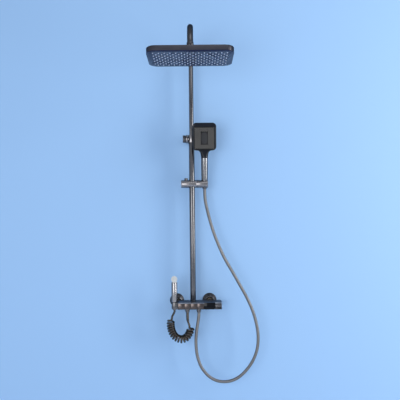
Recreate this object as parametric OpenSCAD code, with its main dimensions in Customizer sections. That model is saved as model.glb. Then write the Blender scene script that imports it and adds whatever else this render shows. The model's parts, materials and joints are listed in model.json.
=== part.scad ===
// Exposed shower column for a bathroom wall: bar valve with four keys, rain head on a
// swivelling arm, handset on a sliding holder, and a small spray gun on a curly hose.
// Millimetres, +Z up, +X to the right, -Y out from the wall, Y = 0 is the wall face.

/* [Overall] */
// Spacing of the two wall inlets
inlet_spacing = 150; // [140:1:160]
// Wall face to the middle of the column
column_offset = 60; // [55:1:72]
// Height of the wall bracket above the inlets
bracket_z = 736; // [620:1:900]
// Height of the sliding holder above the inlets
slider_z = 533; // [300:1:640]
// Height of the arm's centre line above the inlets
arm_z = 1160; // [1050:1:1400]
// Column to the middle of the rain head
arm_reach = 302; // [260:1:380]

/* [Rain head] */
// Width of the rain head
rain_w = 338; // [280:1:400]
// Depth of the rain head
rain_d = 205; // [170:1:250]
// Thickness of the rain head
rain_t = 24.5; // [20:0.5:30]
// Corner radius of the rain head
rain_r = 38; // [20:1:60]
// Spacing of the rain nozzles along a row
rain_pitch = 22; // [18:0.5:26]

/* [Column and arm] */
// Outer diameter of the lower tube
lower_d = 25; // [24:0.5:28]
// Outer diameter of the sliding upper tube
upper_d = 20; // [18:0.5:21]
// Outer diameter of the arm tube
arm_d = 24; // [22:0.5:26]
// Length of upper tube held inside the lower tube
tube_insert = 330; // [280:5:420]
// Diameter of the swivel ball
ball_d = 22; // [18:0.5:24]

/* [Holder and handset] */
// Diameter of the sliding holder's barrel
barrel_d = 35; // [33:0.5:42]
// Forward lean of the handset in degrees
lean = 12; // [8:1:16]
// Length of the handset's metal handle
handle_len = 100; // [80:1:130]
// Width of the handset's head
head_w = 105; // [90:1:120]
// Height of the handset's head
head_h = 121; // [105:1:145]

/* [Valve] */
// Width of the row of four keys
keys_w = 113; // [100:1:135]
// Width of the display window
display_w = 50; // [40:1:60]
// Width of the temperature knob
knob_w = 29; // [24:1:35]
// Depth of the valve from its back to its front
valve_depth = 88; // [84:1:105]
// Height of the valve
valve_h = 30; // [29:0.5:36]

/* [Spray gun] */
// Diameter of the spray gun's handle
gun_d = 26; // [22:0.5:30]
// Length of the spray gun's handle
gun_len = 88; // [75:1:110]

/* [Fits] */
// Radial clearance of a turning or sliding fit
run_fit = 0.05; // [0.02:0.01:0.1]
// Gap between parts that move past each other
move_gap = 0.4; // [0.3:0.05:0.8]
// Radial clearance of a fixed joint
fix_fit = 0.05; // [0.02:0.01:0.2]

/* [Hidden] */
$fn = 48;

col_y = -column_offset;
inlet_x = inlet_spacing / 2;
lower_r = lower_d / 2;
lower_in = lower_r - 1.2;
upper_r = upper_d / 2;

// Valve planes
shelf_t = 4;
base_t = 3;
valve_top = 5;
valve_bot = valve_top - valve_h;
body_top = valve_top - shelf_t;
body_bot = valve_bot + base_t;
body_mid = (body_top + body_bot) / 2;
back_y = -32;
front_y = back_y - valve_depth;
body_front = front_y + 16;
keys_x0 = -66;
keys_x1 = keys_x0 + keys_w;
disp_x1 = keys_x1 + display_w;
right_x = disp_x1 + knob_w + 1;
left_x = -94;
key_w = keys_w / 4 - 1;
key_bot = body_bot + 0.4;
key_top = body_top - 0.4;
stem_r = 4;
div_r = 9;
mix_y = front_y + 16;
inlet_z = -9;
outlet_y = col_y - 6;
outlet_r = 8.33;
outlet_xs = [25, -26];
nut_bot = valve_bot - 21;

// Spray gun
gun_x = -83;
gun_y = front_y + 20;
gun_r = gun_d / 2;
gun_z0 = valve_top + 0.6;
gun_z1 = gun_z0 + gun_len;
pin_z = gun_z1 - 5;
gun_nut_bot = valve_bot - 4;
spigot_r = gun_r - 6;
gun_nut_r = spigot_r + 2.1;
holder_bore = gun_nut_r + 0.5;

// Column
tube_top = bracket_z + 15;
collar_r = lower_r + 4;
knob_x = -collar_r - 1.6;
rear_bend = 80;
front_bend = 90;
arm_low = arm_z - rear_bend;
head_y = col_y - arm_reach;
arm_end = arm_z - front_bend;
ball_r = ball_d / 2;
ball_z = arm_end - 28;
ring_r = ball_r + 2;
rain_top = ball_z - 10.5;
rain_bot = rain_top - rain_t;

// Slider and handset
barrel_r = barrel_d / 2;
hold_x = 57;
nut_top_r = 12;
nut_low_r = 9.6;
nut_t0 = -22;
nut_t1 = barrel_r + 0.1;
handle_t0 = nut_t1 + 0.4;
handle_t1 = handle_t0 + handle_len;
head_t0 = handle_t1 + 33;
head_t1 = head_t0 + head_h;
plate_w = head_w - 16;
plate_h = head_h - 21;
plate_t = head_t0 + 4 + plate_h / 2;

// Hose routes, from the holder or gun end to the valve end
hose_d = 14;
coil_d = 37;
lead_d = 9;
up = [0, -sin(lean), cos(lean)];
hose_top = [hold_x, col_y, slider_z] + (nut_t0 - 0.6) * up;
hose_path = [
  hose_top, hose_top - 25 * up + [0.5, 0, 0], [60, -52, slider_z - 78], [71, -55, slider_z - 131],
  [88, -60, 338], [110, -64, 274], [142, -68, 200], [180, -70, 132], [212, -72, 74],
  [240, -73, 22], [265, -74, -35], [282, -75, -93], [290, -75, -150], [286, -75, -208],
  [267, -75, -261], [236, -75, -306], [198, -74, -340], [156, -74, -356], [111, -73, -355],
  [70, -72, -335], [36, -71, -295], [17, -70, -243], [11, -69, -190], [13, -68, -142],
  [20, -67, -95], [24.5, outlet_y, -64], [outlet_xs[0], outlet_y, nut_bot - 0.6]
];
coil_path = [
  [-100, gun_y + 7, -75], [-101, gun_y + 9, -98], [-96, gun_y + 12, -126],
  [-85, gun_y + 15, -147], [-70, gun_y + 18, -159], [-53, gun_y + 21, -164],
  [-36, outlet_y - 10, -159], [-23, outlet_y - 8, -145], [-15, outlet_y - 6, -129],
  [-13, outlet_y - 5, -114]
];
lead_gun = [
  [gun_x, gun_y, gun_nut_bot - 0.5], [gun_x, gun_y, gun_nut_bot - 5], [gun_x - 3, gun_y + 1, -44],
  [gun_x - 11, gun_y + 4, -59], [-100, gun_y + 7, -72.6]
];
lead_valve = [
  [-13.3, outlet_y - 5, -112], [-19, outlet_y - 4, -101], [-24.5, outlet_y - 2, -84],
  [-25.8, outlet_y - 0.7, -66],
  [outlet_xs[1], outlet_y, nut_bot - 0.8]
];

// Colours
metal = [0.33, 0.33, 0.35];
dark = [0.10, 0.10, 0.11];
pale = [0.80, 0.80, 0.78];
brass = [0.72, 0.58, 0.30];

module box(x0, x1, y0, y1, z0, z1) {
  translate([x0, y0, z0])
    cube([x1 - x0, y1 - y0, z1 - z0]);
}

module rod_x(r, x0, x1, y, z) {
  translate([x0, y, z])
    rotate([0, 90, 0])
      cylinder(r = r, h = x1 - x0);
}

module rod_y(r, y0, y1, x, z) {
  translate([x, y0, z])
    rotate([-90, 0, 0])
      cylinder(r = r, h = y1 - y0);
}

module rod_z(r, z0, z1, x, y) {
  translate([x, y, z0])
    cylinder(r = r, h = z1 - z0);
}

module sleeve_z(r_out, r_in, z0, z1, x, y) {
  difference() {
    rod_z(r_out, z0, z1, x, y);
    rod_z(r_in, z0 - 1, z1 + 1, x, y);
  }
}

module soft_rect(w, d, r) {
  square([w - 2 * r, d], center = true);
  square([w, d - 2 * r], center = true);
  for (sx = [-1, 1])
    for (sy = [-1, 1])
      translate([sx * (w / 2 - r), sy * (d / 2 - r)])
        circle(r = r);
}

module slot_shape(w, h) {
  square([w, h - w], center = true);
  for (s = [-1, 1])
    translate([0, s * (h - w) / 2])
      circle(r = w / 2);
}

// A solid tube along a list of points: smooth curve, then one ring of corners per step
function smooth_at(a, b, c, d, t) =
  0.5 * (2 * b + (c - a) * t + (2 * a - 5 * b + 4 * c - d) * t * t
    + (3 * b - a - 3 * c + d) * t * t * t);
function smooth(p, n) = [
  for (i = [0 : len(p) - 2])
    for (k = [0 : n - 1])
      smooth_at(p[max(i - 1, 0)], p[i], p[i + 1], p[min(i + 2, len(p) - 1)], k / n),
  p[len(p) - 1]
];
function unit(v) = v / norm(v);
function heading(p, i) = unit(p[min(i + 1, len(p) - 1)] - p[max(i - 1, 0)]);

module hose(p, d, sides) {
  n = len(p);
  rings = [
    for (i = [0 : n - 1])
      let (h = heading(p, i), u = unit(cross(h, [0, 1, 0])), v = cross(h, u))
        for (k = [0 : sides - 1])
          p[i] + d / 2 * (cos(360 * k / sides) * u + sin(360 * k / sides) * v)
  ];
  sides_faces = [
    for (i = [0 : n - 2])
      for (k = [0 : sides - 1])
        [i * sides + k, (i + 1) * sides + k,
          (i + 1) * sides + (k + 1) % sides, i * sides + (k + 1) % sides]
  ];
  first = [[for (k = [0 : sides - 1]) k]];
  last = [[for (k = [0 : sides - 1]) n * sides - 1 - k]];
  polyhedron(points = rings, faces = concat(sides_faces, first, last));
}

// ---- Wall connections ----

module rosettes() color(metal)
  for (x = [-inlet_x, inlet_x])
    translate([x, 0, 0])
      rotate([90, 0, 0])
        difference() {
          cylinder(r1 = 33, r2 = 19, h = 13);
          translate([0, 0, -0.01])
            cylinder(r1 = 31, r2 = 17, h = 11);
          translate([0, 0, 5])
            cylinder(r = 12.3, h = 10);
        }

module s_unions() color(brass)
  for (x = [-inlet_x, inlet_x])
    difference() {
      union() {
        rod_y(10.48, -2, 18, x, 0);
        rod_y(12, -16, -2, x, 0);
        rod_y(12, -23.6, -14, x, inlet_z);
        rod_y(13, -23.6, -22, x, inlet_z);
      }
      rod_y(6, -14, 19, x, 0);
      rod_y(6, -25, -12, x, inlet_z);
    }

module union_nuts() color(metal)
  for (x = [-inlet_x, inlet_x])
    difference() {
      translate([x, -31.7, inlet_z])
        rotate([-90, 0, 0])
          rotate([0, 0, 30])
            cylinder(r = 16.8, h = 14.5, $fn = 6);
      rod_y(13.2 + fix_fit, -32, -21.9, x, inlet_z);
      rod_y(12 + fix_fit, -22, -17, x, inlet_z);
    }

// ---- Bar valve ----

module valve_body() color(metal)
  difference() {
    union() {
      box(left_x, right_x, -70, back_y, body_bot, body_top);
      box(keys_x0, disp_x1 + 0.5, body_front, -69, body_bot, body_top);
      box(keys_x1, disp_x1 + 0.5, front_y + 3, body_front + 1, body_bot, body_top);
      box(disp_x1, right_x, mix_y + 12, -69, body_bot, body_top);
      for (x = [-inlet_x, inlet_x])
        rod_y(13.2, back_y - 1, -24, x, inlet_z);
    }
    for (x = [-inlet_x, inlet_x])
      rod_y(8, -56, -23, x, inlet_z);
    rod_x(7, -inlet_x - 8, disp_x1, -54, body_mid);
    rod_z(lower_r + fix_fit, body_top - 3, body_top + 1, 0, col_y);
    rod_z(8 + fix_fit, body_mid, body_top, 0, col_y);
    for (x = outlet_xs)
      rod_z(outlet_r + fix_fit, body_bot - 1, body_mid - 3, x, outlet_y);
    for (x = outlet_xs)
      rod_z(4, body_bot, body_mid, x, outlet_y + 5);
    for (i = [0 : 3])
      rod_y(div_r + fix_fit, body_front - 0.01, body_front + 28, key_x(i), body_mid);
    rod_x(div_r + 0.5 + fix_fit, disp_x1 - 37, disp_x1 + 1, mix_y, body_mid);
    rod_y(3, mix_y, -54, disp_x1 - 30, body_mid);
  }

module valve_shelf() color(metal)
  difference() {
    union() {
      translate([(keys_x0 + right_x) / 2, (front_y - 33.2) / 2, body_top])
        linear_extrude(shelf_t)
          soft_rect(right_x - keys_x0, -33.2 - front_y, 3);
      box(left_x, keys_x0 + 5, -70, -33.2, body_top, valve_top);
    }
    rod_z(lower_r + fix_fit, body_top - 1, valve_top + 1, 0, col_y);
    box(keys_x1, disp_x1 + 0.5, front_y - 1, front_y + 3, body_top - 1, valve_top + 1);
  }

module valve_base() color(metal)
  difference() {
    union() {
      translate([(keys_x0 + right_x) / 2, (front_y - 34) / 2, valve_bot])
        linear_extrude(base_t)
          soft_rect(right_x - keys_x0, -34 - front_y, 3);
      box(left_x, keys_x0 + 5, -70, -34, valve_bot, body_bot);
    }
    for (x = outlet_xs)
      rod_z(outlet_r + 2.2, valve_bot - 1, body_bot + 1, x, outlet_y);
    box(keys_x1, disp_x1 + 0.5, front_y - 1, front_y + 3, valve_bot - 1, body_bot + 1);
  }

module gun_holder() color(metal)
  difference() {
    union() {
      rod_z(12.5, valve_bot, valve_top, gun_x, gun_y);
      box(gun_x - 12.5, keys_x0 - 0.3, gun_y, -70.3, valve_bot, valve_top);
      box(gun_x, keys_x0 - 0.3, gun_y - 12.5, gun_y + 1, valve_bot, valve_top);
    }
    rod_z(holder_bore, valve_bot - 1, valve_top + 1, gun_x, gun_y);
  }

module display_window() color(dark)
  box(keys_x1 + 0.3, disp_x1 + 0.2, front_y, front_y + 2.8, valve_bot + 0.2, valve_top - 0.2);

function key_x(i) = keys_x0 + (i + 0.5) * keys_w / 4;

module diverters() color(brass)
  for (i = [0 : 3])
    difference() {
      rod_y(div_r, body_front, body_front + 27, key_x(i), body_mid);
      rod_y(stem_r + run_fit, body_front - 1, body_front + 13, key_x(i), body_mid);
    }

module key_springs() color(pale)
  for (i = [0 : 3])
    difference() {
      rod_y(6.6, body_front - 5.5, body_front - 0.3, key_x(i), body_mid);
      rod_y(5, body_front - 7, body_front + 1, key_x(i), body_mid);
    }

module key(i) color(metal) {
  x = key_x(i);
  difference() {
    union() {
      box(x - key_w / 2, x + key_w / 2, front_y, front_y + 11, key_bot, key_top);
    }
    difference() {
      rod_y(7.5, front_y + 7, front_y + 12, x, body_mid);
      rod_y(stem_r, front_y + 6, front_y + 13, x, body_mid);
    }
  }
  rod_y(stem_r, front_y + 10.9, front_y + 24, x, body_mid);
}

module temp_knob() color(metal) {
  r = (key_top - key_bot) / 2;
  translate([disp_x1 + 1.2, mix_y, body_mid])
    rotate([0, 90, 0])
      linear_extrude(right_x - disp_x1 - 1.2)
        difference() {
          circle(r = r);
          for (k = [0 : 17])
            rotate([0, 0, k * 20 + 10])
              translate([r + 0.3, 0])
                circle(r = 0.9, $fn = 16);
        }
  rod_x(stem_r, disp_x1 - 8, disp_x1 + 1.3, mix_y, body_mid);
}

module mix_cartridge() color(brass)
  difference() {
    rod_x(div_r + 0.5, disp_x1 - 36, disp_x1 + 0.4, mix_y, body_mid);
    rod_x(stem_r + run_fit, disp_x1 - 8.5, disp_x1 + 1, mix_y, body_mid);
  }

module riser_nipple() color(brass)
  difference() {
    union() {
      rod_z(8, body_mid + 0.5, body_top - 2.8, 0, col_y);
      rod_z(lower_in - 0.1, body_top - 2.9, body_top + 13, 0, col_y);
    }
    rod_z(6, body_mid - 1, body_top + 14, 0, col_y);
  }

module outlet_nipples() color(brass)
  for (x = outlet_xs)
    sleeve_z(outlet_r, 4, nut_bot + 9, body_mid - 3.1, x, outlet_y);

module outlet_nuts() color(metal)
  for (x = outlet_xs)
    difference() {
      union() {
        rod_z(9.8, nut_bot + 6, valve_bot - 0.3, x, outlet_y);
        translate([x, outlet_y, nut_bot])
          cylinder(r1 = 8, r2 = 9.8, h = 6);
      }
      rod_z(outlet_r + fix_fit, nut_bot + 8.9, valve_bot + 1, x, outlet_y);
      rod_z(3, nut_bot - 1, nut_bot + 10, x, outlet_y);
    }

// ---- Column, bracket and arm ----

module lower_tube() color(metal)
  difference() {
    rod_z(lower_r, body_top - 2.8, tube_top, 0, col_y);
    rod_z(lower_in, body_top - 4, tube_top + 1, 0, col_y);
    rod_x(stem_r + 0.3, -lower_r - 2, -1, col_y, bracket_z);
  }

module tube_bush() color(dark)
  difference() {
    union() {
      rod_z(lower_in - fix_fit, bracket_z - 16, tube_top + 0.1, 0, col_y);
      rod_z(lower_r, tube_top + 0.1, tube_top + 2, 0, col_y);
    }
    rod_z(upper_r + run_fit, bracket_z - 18, tube_top + 3, 0, col_y);
    rod_x(stem_r + 0.3, -lower_r - 2, -1, col_y, bracket_z);
  }

module bracket_base() color(pale)
  difference() {
    union() {
      rod_y(16.5, -5, 0, 0, bracket_z);
      rod_y(5, -14, -4, 0, bracket_z);
    }
    for (s = [-1, 1]) {
      rod_y(2.3, -6, 1, 0, bracket_z + s * 11);
      translate([0, -5.01, bracket_z + s * 11])
        rotate([-90, 0, 0])
          cylinder(r1 = 4.4, r2 = 2.3, h = 2.4);
    }
  }

module bracket_screws() color(pale)
  for (s = [-1, 1])
    translate([0, -4.9, bracket_z + s * 11])
      rotate([-90, 0, 0]) {
        cylinder(r1 = 4.1, r2 = 2.1, h = 2.3);
        translate([0, 0, 2.2])
          cylinder(r = 2.1, h = 3.7);
        translate([0, 0, 5.8])
          cylinder(r = 1.9, h = 27.4);
      }

module bracket_cover() color(metal)
  translate([0, 0, bracket_z])
    rotate([90, 0, 0])
      difference() {
        cylinder(r = 18.5, h = 10);
        translate([0, 0, -1])
          cylinder(r = 17.2, h = 9.5);
        cylinder(r = 9.3, h = 12);
      }

module bracket_arm() color(metal)
  difference() {
    union() {
      rod_z(collar_r, bracket_z - 17, bracket_z + 17, 0, col_y);
      rod_y(9, col_y + collar_r - 3, -5.2, 0, bracket_z);
      rod_x(11, -collar_r - 1, 0, col_y, bracket_z);
    }
    rod_z(lower_r + fix_fit, bracket_z - 18, bracket_z + 18, 0, col_y);
    rod_x(stem_r + run_fit, -collar_r - 3, 0, col_y, bracket_z);
    rod_y(5.1, -15, -5, 0, bracket_z);
  }

module lock_knob() color(metal)
  translate([knob_x, col_y, bracket_z])
    rotate([0, -90, 0])
      difference() {
        union() {
          cylinder(r = 19, h = 6);
          translate([0, 0, 5.9])
            cylinder(r = 14.5, h = 2.2);
          translate([0, 0, 8])
            cylinder(r = 16.5, h = 13);
        }
        for (k = [0 : 23])
          rotate([0, 0, k * 15])
            translate([17, 0, 9])
              cylinder(r = 0.9, h = 13, $fn = 16);
        translate([0, 0, -1])
          cylinder(r = stem_r, h = 13);
      }

module lock_stud() color(pale)
  rod_x(stem_r, knob_x - 11.9, -upper_r - 0.35, col_y, bracket_z);

module upper_tube() color(metal)
  sleeve_z(upper_r, upper_r - 1, tube_top - tube_insert, arm_low - 4, 0, col_y);

module upper_seal() color(dark)
  sleeve_z(lower_in - 0.07, upper_r + 0.02, tube_top - tube_insert + 2,
    tube_top - tube_insert + 16, 0, col_y);

module swivel_bush() color(pale)
  sleeve_z(arm_d / 2 - 1.1 - run_fit, upper_r + 0.02, arm_low - 13, arm_low - 4, 0, col_y);

module arm_solid(r) {
  translate([0, col_y, arm_low - 15])
    cylinder(r = r, h = 15);
  translate([0, col_y - rear_bend, arm_low])
    rotate([0, 90, 0])
      rotate([0, 0, 90])
        rotate_extrude(angle = 90)
          translate([rear_bend, 0])
            circle(r = r);
  rod_y(r, head_y + front_bend, col_y - rear_bend, 0, arm_z);
  translate([0, head_y + front_bend, arm_end])
    rotate([0, 90, 0])
      rotate([0, 0, 180])
        rotate_extrude(angle = 90)
          translate([front_bend, 0])
            circle(r = r);
  translate([0, head_y, arm_end - 2])
    cylinder(r = r, h = 2);
}

module arm() color(metal)
  difference() {
    arm_solid(arm_d / 2);
    arm_solid(arm_d / 2 - 1.1);
    rod_z(arm_d / 2 - 1.1, arm_low - 16, arm_low - 10, 0, col_y);
    rod_z(arm_d / 2 - 1.1, arm_end - 3, arm_end, 0, head_y);
  }

module arm_collar() color(metal)
  difference() {
    rod_z(arm_d / 2 + 2, arm_end - 12, arm_end + 1, 0, head_y);
    rod_z(arm_d / 2 + fix_fit, arm_end - 2.1, arm_end + 2, 0, head_y);
    rod_z(8 + fix_fit, arm_end - 13, arm_end, 0, head_y);
  }

module ball_stem() color(pale)
  difference() {
    union() {
      translate([0, head_y, ball_z])
        sphere(r = ball_r);
      rod_z(6, ball_z, arm_end - 11.5, 0, head_y);
      rod_z(8, arm_end - 11.8, arm_end - 2.2, 0, head_y);
    }
    rod_z(3.5, ball_z - ball_r - 1, arm_end, 0, head_y);
  }

module ball_ring() color(dark)
  difference() {
    intersection() {
      translate([0, head_y, ball_z])
        sphere(r = ring_r);
      rod_z(ring_r + 1, ball_z - 7, ball_z + 5, 0, head_y);
    }
    translate([0, head_y, ball_z])
      sphere(r = ball_r + run_fit);
  }

module ball_nut() color(metal)
  difference() {
    union() {
      rod_z(ring_r + 5, ball_z - 10, ball_z + 8, 0, head_y);
      translate([0, head_y, ball_z + 8])
        cylinder(r1 = ring_r + 5, r2 = ring_r + 1.5, h = 2.5);
    }
    translate([0, head_y, ball_z])
      sphere(r = ring_r + run_fit);
    rod_z(ring_r + 2.2 + fix_fit, ball_z - 11, ball_z + 0.2, 0, head_y);
    rod_z(ball_r - 1.2, ball_z, ball_z + 12, 0, head_y);
  }

module rain_shell() color(dark)
  difference() {
    union() {
      translate([0, head_y, rain_bot + 3.2])
        linear_extrude(rain_top - rain_bot - 3.2)
          soft_rect(rain_w, rain_d, rain_r);
      rod_z(ring_r + 2.2, rain_top - 1, ball_z, 0, head_y);
    }
    translate([0, head_y, rain_bot + 2])
      linear_extrude(rain_top - rain_bot - 4.5)
        soft_rect(rain_w - 6, rain_d - 6, rain_r - 3);
    translate([0, head_y, ball_z])
      sphere(r = ring_r + run_fit);
    rod_z(6, rain_bot, ball_z, 0, head_y);
  }

function rain_spots() = [
  for (j = [0 : 9])
    let (n = j % 2 == 0 ? 14 : 13)
      for (i = [0 : n - 1])
        [(i - (n - 1) / 2) * rain_pitch, (j - 4.5) * rain_d / 12]
];

module rain_plate() color(dark)
  translate([0, head_y, rain_bot])
    linear_extrude(3)
      difference() {
        soft_rect(rain_w, rain_d, rain_r);
        for (p = rain_spots())
          translate(p)
            circle(r = 2.7, $fn = 24);
      }

module rain_mat() color(pale)
  translate([0, head_y, 0]) {
    translate([0, 0, rain_bot + 3.1])
      linear_extrude(2)
        soft_rect(rain_w - 8, rain_d - 8, rain_r - 4);
    for (p = rain_spots())
      translate([p[0], p[1], rain_bot - 1.6])
        cylinder(r = 2.3, h = 4.9, $fn = 24);
  }

// ---- Sliding holder ----

module slider_body() color(metal)
  difference() {
    rod_x(barrel_r, -45, 18.5, col_y, slider_z);
    rod_z(lower_r + 1.35, slider_z - 30, slider_z + 30, 0, col_y);
    rod_x(barrel_r - 3, -46, -17.5, col_y, slider_z);
    rod_z(8.1, slider_z, slider_z + 30, -27, col_y);
    rod_x(5, lower_r + 1, 20, col_y, slider_z);
  }

module slider_liner() color(dark)
  intersection() {
    sleeve_z(lower_r + 1.3, lower_r + 0.08, slider_z - 10, slider_z + 10, 0, col_y);
    rod_x(barrel_r - 0.3, -30, 18, col_y, slider_z);
  }

module slider_cap() color(metal) {
  rod_x(barrel_r, -48.8, -45.1, col_y, slider_z);
  rod_x(barrel_r - 3 - fix_fit, -45.2, -41, col_y, slider_z);
}

module slider_button() color(metal) {
  rod_z(8, slider_z + 7, slider_z + barrel_r + 8, -27, col_y);
  rod_z(9.5, slider_z + 5, slider_z + 7.5, -27, col_y);
}

module cradle() color(metal)
  difference() {
    rod_x(barrel_r, 19, 71.5, col_y, slider_z);
    rod_x(5 + run_fit, 18, 35, col_y, slider_z);
    rod_x(7 + move_gap, 34, hold_x, col_y, slider_z);
    translate([hold_x, col_y, slider_z])
      rotate([lean, 0, 0])
        translate([0, 0, -barrel_r - 5])
          cylinder(r1 = nut_low_r + 0.75, r2 = nut_top_r + 0.65, h = 2 * barrel_r + 10);
  }

module cradle_pin() color(pale) {
  rod_x(5, 14.2, 36, col_y, slider_z);
  rod_x(7, 35.5, 39, col_y, slider_z);
}

// ---- Handset, built upright and then leaned forward about the holder's axis ----

module leaned()
  translate([hold_x, col_y, slider_z])
    rotate([lean, 0, 0])
      children();

module handset_handle() color(metal)
  leaned()
    difference() {
      union() {
        translate([0, 0, handle_t0])
          cylinder(r1 = 14.5, r2 = 15.5, h = handle_len);
        rod_z(10.45, handle_t0 - 12, handle_t0 + 1, 0, 0);
      }
      rod_z(12, handle_t0 + 12, handle_t1 + 1, 0, 0);
      rod_z(7, handle_t0 - 13, handle_t0 + 13, 0, 0);
    }

module hose_nut() color(metal)
  leaned()
    difference() {
      translate([0, 0, nut_t0])
        cylinder(r1 = nut_low_r, r2 = nut_top_r, h = nut_t1 - nut_t0);
      rod_z(10.5, nut_t1 - 12, nut_t1 + 1, 0, 0);
      rod_z(6, nut_t0 - 1, nut_t1, 0, 0);
    }

module handset_shell() color(dark)
  leaned()
    difference() {
      union() {
        rod_z(11.95, handle_t1 - 18, handle_t1 + 1, 0, 0);
        translate([0, 0, handle_t1 + 0.2])
          cylinder(r1 = 15.5, r2 = 16, h = 34);
        translate([0, 10, (head_t0 + head_t1) / 2])
          rotate([90, 0, 0])
            linear_extrude(18) {
              soft_rect(head_w, head_h, 17);
              polygon([[-16.5, -head_h / 2 - 24], [16.5, -head_h / 2 - 24],
                [head_w / 2 - 24, -head_h / 2 + 1], [-head_w / 2 + 24, -head_h / 2 + 1]]);
            }
      }
      translate([0, 7, (head_t0 + head_t1) / 2])
        rotate([90, 0, 0])
          linear_extrude(18)
            soft_rect(head_w - 8, head_h - 8, 13);
      rod_z(8, handle_t1 - 20, head_t0 + 10, 0, 0);
      box(-head_w / 2, head_w / 2, -30, -8.1, head_t0 - 0.1, head_t1 + 1);
    }

module handset_ring() color(dark)
  leaned()
    translate([0, -8.2, 0])
      rotate([90, 0, 0])
        linear_extrude(6.8)
          difference() {
            translate([0, (head_t0 + head_t1) / 2])
              soft_rect(head_w, head_h, 17);
            translate([0, plate_t])
              soft_rect(plate_w, plate_h, 6);
          }

function hand_spots() = [
  for (j = [-10 : 10])
    let (n = abs(j) % 2 == 0 ? 10 : 9)
      for (i = [0 : n - 1])
        let (x = (i - (n - 1) / 2) * (plate_w - 6) / 9.2, z = j * (plate_h - 6) / 21.4)
          if (abs(x) > 15 || abs(z) > 27)
            [x, z]
];

module hand_sheet(w, h, r, hole)
  translate([0, plate_t])
    difference() {
      soft_rect(w, h, r);
      slot_shape(25.8, 50.8);
      if (hole > 0)
        for (p = hand_spots())
          translate(p)
            circle(r = hole, $fn = 16);
    }

module handset_plate() color(dark)
  leaned()
    translate([0, -11, 0])
      rotate([90, 0, 0])
        linear_extrude(2.4)
          hand_sheet(plate_w - 0.5, plate_h - 0.5, 5.8, 2.1);

module handset_mat() color(pale)
  leaned() {
    translate([0, -8.9, 0])
      rotate([90, 0, 0])
        linear_extrude(2)
          hand_sheet(plate_w - 1.5, plate_h - 1.5, 5.5, 0);
    for (p = hand_spots())
      translate([p[0], -10.8, plate_t + p[1]])
        rotate([90, 0, 0])
          cylinder(r = 1.8, h = 3.4, $fn = 16);
  }

module handset_insert() color(dark)
  leaned()
    translate([0, -8.9, plate_t])
      rotate([90, 0, 0])
        linear_extrude(5.2)
          slot_shape(25, 50);

module handset_hose() color(metal)
  hose(smooth(hose_path, 2), hose_d, 10);

// ---- Spray gun ----

module gun_body() color(metal)
  difference() {
    union() {
      translate([gun_x, gun_y, gun_z0])
        cylinder(r1 = gun_r - 2, r2 = gun_r, h = 3);
      rod_z(gun_r, gun_z0 + 2.9, gun_z1, gun_x, gun_y);
      rod_z(spigot_r, gun_z0 - 13, gun_z0 + 1, gun_x, gun_y);
      for (s = [-1, 1])
        box(gun_x + s * 8.1 - 1.5, gun_x + s * 8.1 + 1.5, gun_y + 8, gun_y + gun_r + 9,
            pin_z - 5, pin_z + 5);
    }
    rod_z(spigot_r - 2, gun_z0 - 14, gun_z1 - 12, gun_x, gun_y);
    rod_x(1.6, gun_x - 12, gun_x + 12, gun_y + gun_r + 5, pin_z);
    gun_tilt()
      translate([0, 0, -11.1])
        cylinder(r = gun_r + 0.4, h = 22.2);
  }

module gun_head() color(pale)
  difference() {
    union() {
      rod_z(gun_r - 2, gun_z1 + 0.1, gun_z1 + 8, gun_x, gun_y);
      gun_tilt()
        translate([0, 0, -11])
          cylinder(r = gun_r + 0.3, h = 22);
    }
    gun_tilt()
      translate([0, 0, 3])
        cylinder(r = gun_r - 1, h = 12);
  }

module gun_tilt()
  translate([gun_x, gun_y, gun_z1 + gun_r + 0.8])
    rotate([78, 0, 0])
      children();

module gun_face() color(pale)
  gun_tilt()
    translate([0, 0, 9])
      linear_extrude(3.2)
        difference() {
          circle(r = gun_r - 1.1);
          circle(r = 1, $fn = 16);
          for (k = [0 : 5])
            rotate([0, 0, 60 * k])
              translate([4.5, 0])
                circle(r = 0.9, $fn = 16);
          for (k = [0 : 11])
            rotate([0, 0, 30 * k])
              translate([8.6, 0])
                circle(r = 0.9, $fn = 16);
        }

module gun_trigger() color(pale)
  difference() {
    union() {
      box(gun_x - 6.2, gun_x + 6.2, gun_y + gun_r + 5, gun_y + gun_r + 8, pin_z - 47, pin_z + 1);
      rod_x(3.4, gun_x - 6.2, gun_x + 6.2, gun_y + gun_r + 5, pin_z);
    }
    rod_x(1.6 + run_fit, gun_x - 8, gun_x + 8, gun_y + gun_r + 5, pin_z);
  }

module gun_pin() color(pale)
  rod_x(1.6, gun_x - 9.6, gun_x + 9.6, gun_y + gun_r + 5, pin_z);

module gun_nut() color(metal)
  difference() {
    union() {
      rod_z(gun_nut_r, valve_bot + 3, gun_z0 - 0.2, gun_x, gun_y);
      translate([gun_x, gun_y, gun_nut_bot])
        cylinder(r1 = spigot_r, r2 = gun_nut_r, h = 7);
    }
    rod_z(spigot_r + fix_fit, gun_z0 - 13.2, gun_z0 + 1, gun_x, gun_y);
    rod_z(spigot_r - 4, gun_nut_bot - 1, gun_z0, gun_x, gun_y);
  }

module coil_hose() color(dark)
  hose(coil_path, coil_d, 12);

module coil_leads() color(dark) {
  hose(lead_gun, lead_d, 8);
  hose(lead_valve, lead_d, 8);
}

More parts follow.
